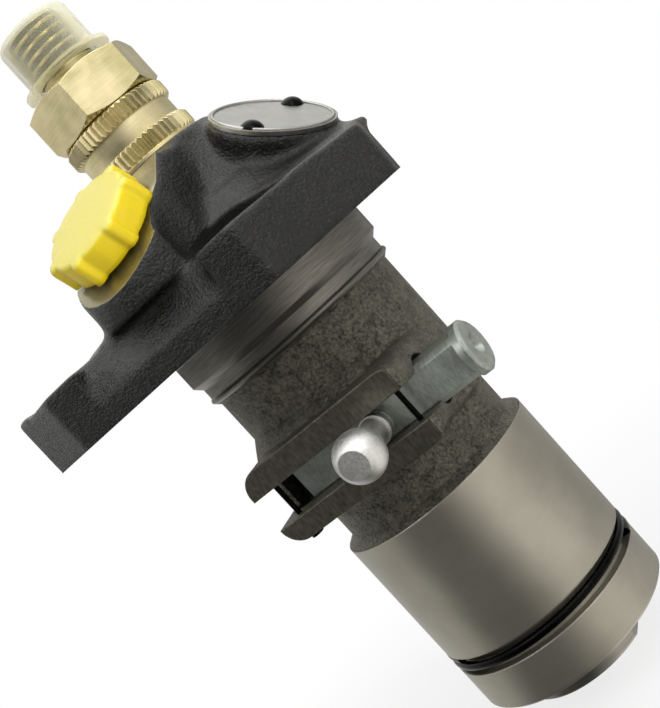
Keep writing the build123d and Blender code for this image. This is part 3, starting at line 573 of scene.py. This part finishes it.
# ------------------------------------------------------------------ pump element
# Ground steel for barrel, plunger, valve, tappet and roller, turned steel for the sleeve and the
# spring plates, oiled spring wire, and bronze for the roller's bush and the gasket.  Only the
# tappet's end shows below the housing.
def steel(name, dark, light, roughness, along=(1, 1, 1), size=0.0005, depth=0.000012, round_over=0.0002):
    """Bare metal with tool marks, which are stretched along the directions given small factors."""
    finish = Finish(name, light, roughness, 1.0)
    marks = finish.grain(size, 3, 0.55, finish.stretched(along))
    tone = finish.grain(0.006, 2, 0.5)
    return finish.wear(
        Base_Color=finish.blend(finish.spread(finish.plus(marks, tone), 0.7, 1.3), dark, light),
        Roughness=finish.spread(marks, 0.3, 0.7, roughness - 0.05, roughness + 0.06),
        Normal=finish.relief(marks, depth, finish.rounded(round_over)),
    )


def merged_copy(node, name):
    """A solid's mesh with its loose triangles joined, and its edges kept sharp."""
    joined = form_of(solids[node].data)
    bmesh.ops.remove_doubles(joined, verts=joined.verts, dist=same_spot)
    crease(joined)
    mesh = mesh_of(joined, name)
    if "custom_normal" in mesh.attributes:
        mesh.attributes.remove(mesh.attributes["custom_normal"])
    mesh.materials.clear()
    mesh.materials.append(solids[node].data.materials[0])
    return placed(name, mesh)


ground_steel = steel("ground_steel", linear(0.5, 0.49, 0.465), linear(0.62, 0.61, 0.58), 0.32, (0.03, 0.03, 1),
                     0.0003)
for node in ("tappet_body", "thrust_pad", "cam_roller", "roller_pin", "plunger", "plunger_barrel",
             "barrel_locating_pin", "delivery_valve_seat", "delivery_valve", "tappet_guide_pin"):
    dress(node, ground_steel)
turned_steel = steel("turned_steel", linear(0.42, 0.42, 0.42), linear(0.55, 0.55, 0.55), 0.36, (0.1, 1, 1),
                     0.0008)
for node in ("control_sleeve", "volume_reducer", "upper_spring_plate", "lower_spring_plate"):
    dress(node, turned_steel)
oiled_wire = steel("oiled_wire", linear(0.16, 0.16, 0.165), linear(0.26, 0.26, 0.27), 0.3)
for coil, joint, travel, held_end in (("plunger_spring", "tappet_slide", 0.008, -0.03252),
                                      ("delivery_valve_spring", "valve_lift", 0.002, 0.02498)):
    dress(coil, oiled_wire)
    live_spring = merged_copy(coil, "live_" + coil)
    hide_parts(coil)
    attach(live_spring, "housing")
    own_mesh(live_spring)
bronze = steel("bronze", linear(0.5, 0.38, 0.2), linear(0.65, 0.5, 0.3), 0.35)
dress("roller_bush", bronze)
dress("valve_gasket", bronze)

# ------------------------------------------------------------------ retaining ring
# Black spring wire, sprung into the pilot's groove to hold the tappet's guide pin.  The rack's
# stop pins are of the same black steel.
wire_radius = 0.00079
ring_radius = 0.0183
pitch_of_turns = 0.00172
ring_turns = 1.62
ring_middle = -0.06815
middle_of_wire = math.radians(-64)
path_steps = 144
wire_sides = 16


def swept(name, material, turns, radius, rise, wire, sides, profile_turn=0.0, place=Matrix()):
    """Wire wound round the Z axis from its start on +X, or closed where it does not climb."""
    tree = bpy.data.node_groups.new(name, "GeometryNodeTree")
    for label, kind in (("Turns", "Float"), ("Radius", "Float"), ("Rise", "Float"), ("Wire Radius", "Float"),
                        ("Sides", "Int"), ("Profile Turn", "Float")):
        tree.interface.new_socket(label, in_out="INPUT", socket_type="NodeSocket" + kind)
    tree.interface.new_socket("Geometry", in_out="OUTPUT", socket_type="NodeSocketGeometry")
    given = tree.nodes.new("NodeGroupInput").outputs
    if rise:
        path = tree.nodes.new("GeometryNodeCurveSpiral")
        for label, socket in (("Turns", "Rotations"), ("Radius", "Start Radius"), ("Radius", "End Radius"),
                              ("Rise", "Height")):
            tree.links.new(given[label], path.inputs[socket])
    else:
        path = tree.nodes.new("GeometryNodeCurvePrimitiveCircle")
        tree.links.new(given["Radius"], path.inputs["Radius"])
    path.inputs["Resolution"].default_value = path_steps
    level = tree.nodes.new("GeometryNodeSetCurveNormal")
    level.mode = "Z_UP"
    profile = tree.nodes.new("GeometryNodeCurvePrimitiveCircle")
    spun = tree.nodes.new("GeometryNodeTransform")
    spin = tree.nodes.new("ShaderNodeCombineXYZ")
    skinned = tree.nodes.new("GeometryNodeCurveToMesh")
    skinned.inputs["Fill Caps"].default_value = True
    real = tree.nodes.new("GeometryNodeRealizeInstances")
    coat = tree.nodes.new("GeometryNodeSetMaterial")
    coat.inputs["Material"].default_value = material
    out = tree.nodes.new("NodeGroupOutput")
    for start, end in ((path.outputs["Curve"], level.inputs["Curve"]),
                       (level.outputs["Curve"], skinned.inputs["Curve"]),
                       (given["Sides"], profile.inputs["Resolution"]),
                       (given["Wire Radius"], profile.inputs["Radius"]),
                       (given["Profile Turn"], spin.inputs["Z"]),
                       (spin.outputs["Vector"], spun.inputs["Rotation"]),
                       (profile.outputs["Curve"], spun.inputs["Geometry"]),
                       (spun.outputs["Geometry"], skinned.inputs["Profile Curve"]),
                       (skinned.outputs["Mesh"], real.inputs["Geometry"]),
                       (real.outputs["Geometry"], coat.inputs["Geometry"]),
                       (coat.outputs["Geometry"], out.inputs["Geometry"])):
        tree.links.new(start, end)
    wound = placed(name, bpy.data.meshes.new(name))
    winding = wound.modifiers.new("wound", "NODES")
    winding.node_group = tree
    values = {"Turns": turns, "Radius": radius, "Rise": rise, "Wire Radius": wire, "Sides": sides,
              "Profile Turn": profile_turn}
    for socket in tree.interface.items_tree:
        if socket.in_out == "INPUT":
            winding[socket.identifier] = values[socket.name]
    mesh = as_modified(wound)
    wound.modifiers.clear()
    mesh.transform(place @ Matrix.Scale(-1, 4, (0, 1, 0)))  # the spiral node winds left-handed
    outward = form_of(mesh)
    bmesh.ops.remove_doubles(outward, verts=outward.verts, dist=same_spot / 10)
    bmesh.ops.recalc_face_normals(outward, faces=outward.faces)
    for face in outward.faces:
        face.smooth = sides > 3 and len(face.verts) == 4
    outward.to_mesh(mesh)
    wound.data = mesh
    return wound


black_wire = steel("black_wire", linear(0.035, 0.035, 0.035), linear(0.09, 0.09, 0.09), 0.28)
dress("retaining_ring", black_wire)
dress("rack_stop_pins", black_wire)
ring_rise = pitch_of_turns * ring_turns
start_bearing = Matrix.Rotation(middle_of_wire - math.pi * ring_turns, 4, "Z")
sprung_ring = swept("sprung_ring", black_wire, ring_turns, ring_radius, ring_rise, wire_radius, wire_sides,
                    place=Matrix.Translation((0, 0, ring_middle - ring_rise / 2)) @ start_bearing)
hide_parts("retaining_ring")
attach(sprung_ring, "housing")

# ------------------------------------------------------------------ control rack
# A round steel bar with milled flats, toothed behind, that slides through the guide.
rack_steel = Finish("milled_rack", linear(0.6, 0.61, 0.62), 0.36, 0.6)
mill_marks = rack_steel.grain(0.0003, 3, 0.5, rack_steel.stretched((1, 0.3, 0.3)))
stain = rack_steel.grain(0.004, 3, 0.6)
rack_steel.wear(
    Base_Color=rack_steel.blend(rack_steel.spread(rack_steel.plus(mill_marks, stain), 0.7, 1.3),
                                linear(0.5, 0.52, 0.5), linear(0.64, 0.66, 0.63)),
    Roughness=rack_steel.spread(stain, 0.3, 0.7, 0.3, 0.44),
    Normal=rack_steel.relief(mill_marks, 0.00001, rack_steel.rounded(0.00025)),
)
dress("control_rack", rack_steel.material)

# ------------------------------------------------------------------ ball stud
# Turned steel, plated matte silver, screwed into the rack.
matte_silver = steel("matte_silver", linear(0.78, 0.78, 0.775), linear(0.9, 0.9, 0.89), 0.48, size=0.0004,
                     depth=0.00003)
dress("rack_ball_stud", matte_silver)

# ------------------------------------------------------------------ union
# The valve holder: steel, machined with a hexagon and two serrated bands, plated and passivated
# yellow; its pipe thread stands above the hexagon.
tightened = math.radians(28)
thread_pitch = 0.0015
thread_low = 0.0478
thread_high = 0.0562
thread_run_in = 0.0001
shank_below = 0.001
thread_root = 0.0051
thread_crest = 0.00598
thread_ridge = 0.00072
root_shade = 0.0005
in_groove = 0.0003
first_ramp = 1.2


def draw_in(vertex, reach):
    """Brings a vertex in to a distance from the pump's axis."""
    vertex.co.xy *= reach / math.hypot(vertex.co.x, vertex.co.y)


gold = Finish("yellow_passivate", linear(0.85, 0.77, 0.55), 0.25, 1.0)
height = gold.apart(gold.place)[2]
threaded = gold.times(gold.spread(height, thread_low, thread_low + thread_run_in),
                      gold.spread(height, thread_high - thread_run_in, thread_high, 1, 0))
# painted shade: the thread's roots, near the core's radius, are painted dark
root_painted_shade = gold.times(threaded, gold.spread(gold.reach(), thread_root, thread_root + root_shade, 1, 0))
cloud = gold.grain(0.005, 2, 0.5)
tool = gold.grain(0.0003, 3, 0.5, gold.stretched((0.05, 0.05, 1)))
plating = gold.blend(gold.spread(gold.plus(cloud, gold.times(tool, 0.3)), 0.45, 0.85),
                     linear(0.77, 0.735, 0.55), linear(0.93, 0.875, 0.71))
gold.wear(
    Base_Color=gold.blend(root_painted_shade, plating, linear(0.14, 0.12, 0.06)),
    Roughness=gold.spread(cloud, 0.3, 0.7, 0.22, 0.32),
    Normal=gold.relief(tool, 0.000008, gold.rounded(0.00015)),
)
dress("delivery_valve_holder", gold.material)
tight_union = merged_copy("delivery_valve_holder", "tight_union")
tight_union.data.transform(Matrix.Rotation(tightened, 4, "Z"))
for vertex in tight_union.data.vertices:
    if vertex.co.z > thread_low - shank_below and math.hypot(vertex.co.x, vertex.co.y) > thread_root:
        draw_in(vertex, thread_root)
thread_length = thread_high - thread_low
cut_thread = swept("cut_thread", gold.material, thread_length / thread_pitch, thread_crest - thread_ridge,
                   thread_length, thread_ridge, 3, math.pi, Matrix.Translation((0, 0, thread_low)))
for vertex in cut_thread.data.vertices:
    from_start = vertex.co.z - thread_low
    from_end = thread_high - vertex.co.z
    allowed = min(thread_crest, thread_root + from_start * first_ramp, thread_root + from_end)
    if math.hypot(vertex.co.x, vertex.co.y) > allowed:
        draw_in(vertex, max(allowed, thread_root - in_groove))
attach(cut_thread, "housing")
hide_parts("delivery_valve_holder")
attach(tight_union, "housing")

# ------------------------------------------------------------------ marking plate
# A disc of satin aluminium with a rolled rim, held to its pad by two blackened rivets.
rim_radius = 0.0096
rim_bead = 0.0003
bead_sides = 12
plate_face = 0.00082
aluminium = steel("satin_aluminium", linear(0.57, 0.57, 0.555), linear(0.66, 0.66, 0.645), 0.38, size=0.0009)
dress("marking_plate", aluminium)
dress("plate_rivets", black_wire)
on_plate = Matrix.Translation(plate_centre) @ plate_turn @ Matrix.Translation((0, 0, plate_face))
plate_rim = swept("plate_rim", aluminium, 1, rim_radius, 0, rim_bead, bead_sides, place=on_plate)
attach(plate_rim, "housing")

# ------------------------------------------------------------------ outlet cap
# Thin milky polythene, pushed over the pipe thread.
milky = Finish("milky_polythene", linear(0.86, 0.855, 0.8), 0.3)
edge_on = milky.node("LayerWeight")
edge_on.inputs["Blend"].default_value = 0.5
waxy = milky.grain(0.003)
milky.wear(
    Base_Color=milky.blend(milky.spread(waxy, 0.3, 0.7), linear(0.93, 0.91, 0.76), linear(0.97, 0.96, 0.85)),
    Alpha=milky.spread(edge_on.outputs["Facing"], 0.1, 0.95, 0.13, 0.7),
    Roughness=milky.spread(waxy, 0.3, 0.7, 0.25, 0.4),
)
dress("outlet_cap", milky.material)

# ------------------------------------------------------------------ inlet cap
# Moulded yellow polythene, pushed into the port: a knob with seven small lobes to pull it by.
plug_radius = 0.006
plug_depth = 0.006
plug_chamfer = 0.0002
chamfer_height = 0.0005
plug_shoulder = 0.0001
knob_foot = 0.00035
knob_foot_share = 0.94
knob_start = 0.0006
knob_height = 0.0054
knob_taper = 0.012
knob_round = 0.0009
round_from = 0.985
round_to = 0.89
round_parts = 5
lobes = 7
lobe_radius = 0.0095
lobe_width = 0.13
flat_radius = 0.0085
flat_bow = 0.35
knob_sides = 210
yellow = Finish("yellow_polythene", linear(0.93, 0.83, 0.1), 0.32)
moulded = yellow.grain(0.0006, 2, 0.5)
# painted light: the knob's top face is painted paler, as if lit from above
top_painted_light = yellow.spread(yellow.height_off(inlet_face, out_of_inlet), knob_height - 0.0006, knob_height - 0.0001)
body_yellow = yellow.blend(yellow.grain(0.006), linear(0.85, 0.74, 0.03), linear(0.89, 0.8, 0.08))
yellow.wear(
    Base_Color=yellow.blend(top_painted_light, body_yellow, linear(0.88, 0.83, 0.36)),
    Roughness=yellow.spread(moulded, 0.3, 0.7, 0.28, 0.4),
    Normal=yellow.relief(moulded, 0.00003),
    Subsurface_Weight=0.15,
    Subsurface_Radius=(0.002, 0.0015, 0.0003),
)


def knob_outline(turn):
    """How far the knob reaches from its axis at an angle."""
    from_lobe = (turn * lobes / (2 * math.pi) + 0.5) % 1 - 0.5
    flat = flat_radius / math.cos(from_lobe * 2 * math.pi / lobes * flat_bow)
    return flat + (lobe_radius - flat_radius) * math.exp(-(from_lobe / lobe_width) ** 4)


# the plug's rings are round, as radius and height; the knob's are the outline's share and height
plug_rings = ((plug_radius - plug_chamfer, -plug_depth), (plug_radius, chamfer_height - plug_depth),
              (plug_radius, plug_shoulder))
knob_rings = [(knob_foot_share, knob_foot), (1.0, knob_start)]
knob_rings += [(1.0 - knob_taper * share, knob_height * share) for share in (0.25, 0.5, 0.75)]
for part in range(round_parts + 1):
    swing = math.pi / 2 * part / round_parts
    knob_rings.append((round_from - (round_from - round_to) * (1 - math.cos(swing)),
                       knob_height - knob_round * (1 - math.sin(swing))))
knob_rings += [(0.6, knob_height + 0.00006), (0.25, knob_height + 0.0001)]
at_inlet = Matrix.Translation(inlet_face) @ Matrix.Rotation(inlet_tilt, 4, "X")
turns = [2 * math.pi * side / knob_sides for side in range(knob_sides)]
outlines = [([radius] * knob_sides, height) for radius, height in plug_rings]
outlines += [([share * knob_outline(turn) for turn in turns], height) for share, height in knob_rings]
knob = bmesh.new()
join_rows(knob, [[knob.verts.new(at_inlet @ Vector((reach * math.cos(turn), reach * math.sin(turn), height)))
                  for turn, reach in zip(turns, reaches)] for reaches, height in outlines])
for face in knob.faces:
    face.smooth = len(face.verts) == 4
knob_mesh = mesh_of(knob, "inlet_plug")
knob_mesh.materials.append(yellow.material)
inlet_plug = placed("inlet_plug", knob_mesh)
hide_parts("inlet_cap")
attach(inlet_plug, "housing")
dress("inlet_cap", yellow.material)
